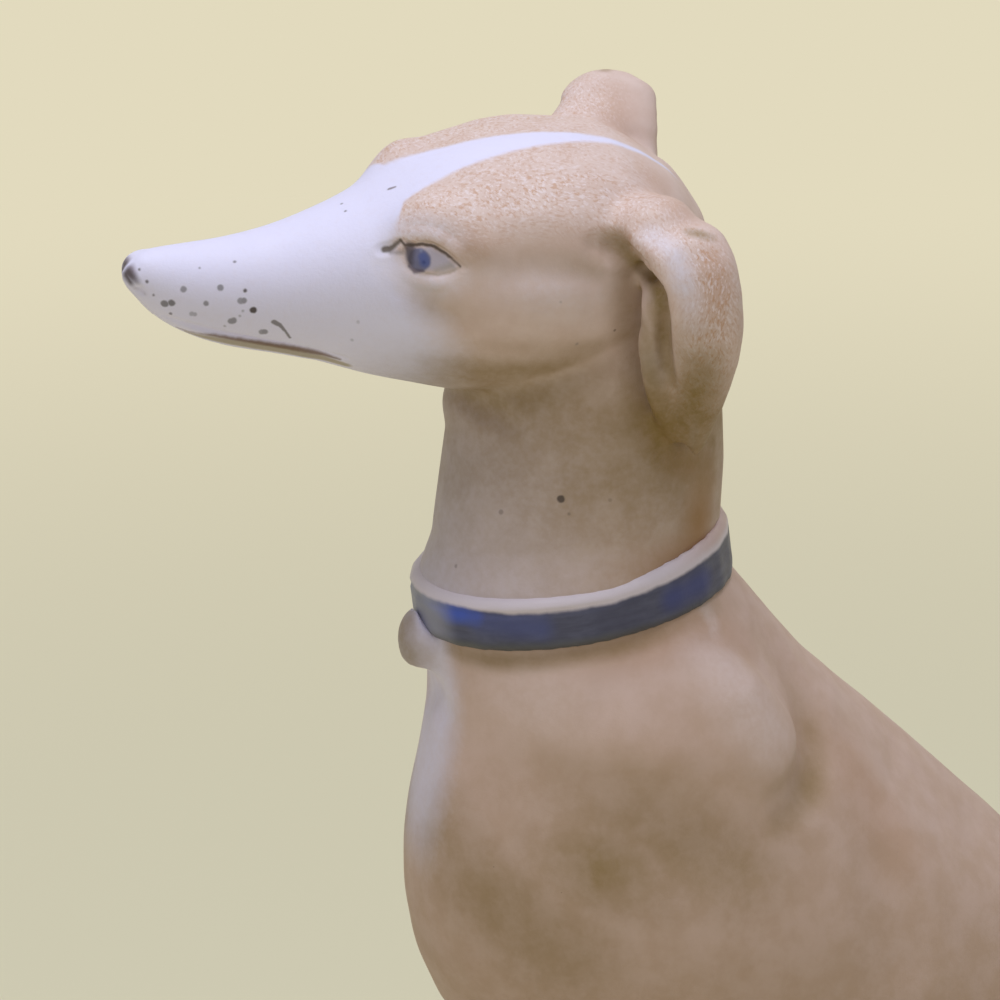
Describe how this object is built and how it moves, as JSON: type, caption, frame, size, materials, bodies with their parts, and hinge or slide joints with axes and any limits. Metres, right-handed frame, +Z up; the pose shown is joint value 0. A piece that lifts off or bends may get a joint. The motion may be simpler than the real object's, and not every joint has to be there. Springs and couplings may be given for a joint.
{
  "type": "seated greyhound figure",
  "caption": "Seated greyhound ornament in painted bisque with a blue collar, hanging ears and a tail curled round the haunch, on a stepped oval plinth.",
  "frame": {"origin": "centre of the plinth's oval underside", "axes": "-Y where the dog's muzzle points, +X the dog's left, +Z up"},
  "size_m": [0.062, 0.1044, 0.1332],
  "materials": {
    "body_bisque": "matt unglazed, fawn wash",
    "head_bisque": "matt unglazed, fawn and white wash",
    "ear_bisque": "matt unglazed, fawn wash worn at the folds",
    "collar_blue": "matt cobalt paint with pale edges",
    "leg_bisque": "matt unglazed, fawn wash, paler paws",
    "plinth_blue": "matt cobalt paint with a worn gilt line",
    "raw_biscuit": "raw fired body"
  },
  "bodies": {
    "root": {"base_plinth": "plinth_blue", "base_slab": "raw_biscuit", "body_half_left": "body_bisque", "body_half_right": "body_bisque", "head_half_left": "head_bisque", "head_half_right": "head_bisque", "ear_left": "ear_bisque", "ear_right": "ear_bisque", "collar": "collar_blue", "pendant": "body_bisque", "foreleg_left": "leg_bisque", "foreleg_right": "leg_bisque", "hind_foot_left": "leg_bisque", "hind_foot_right": "leg_bisque", "tail": "body_bisque"}
  },
  "joints": []
}
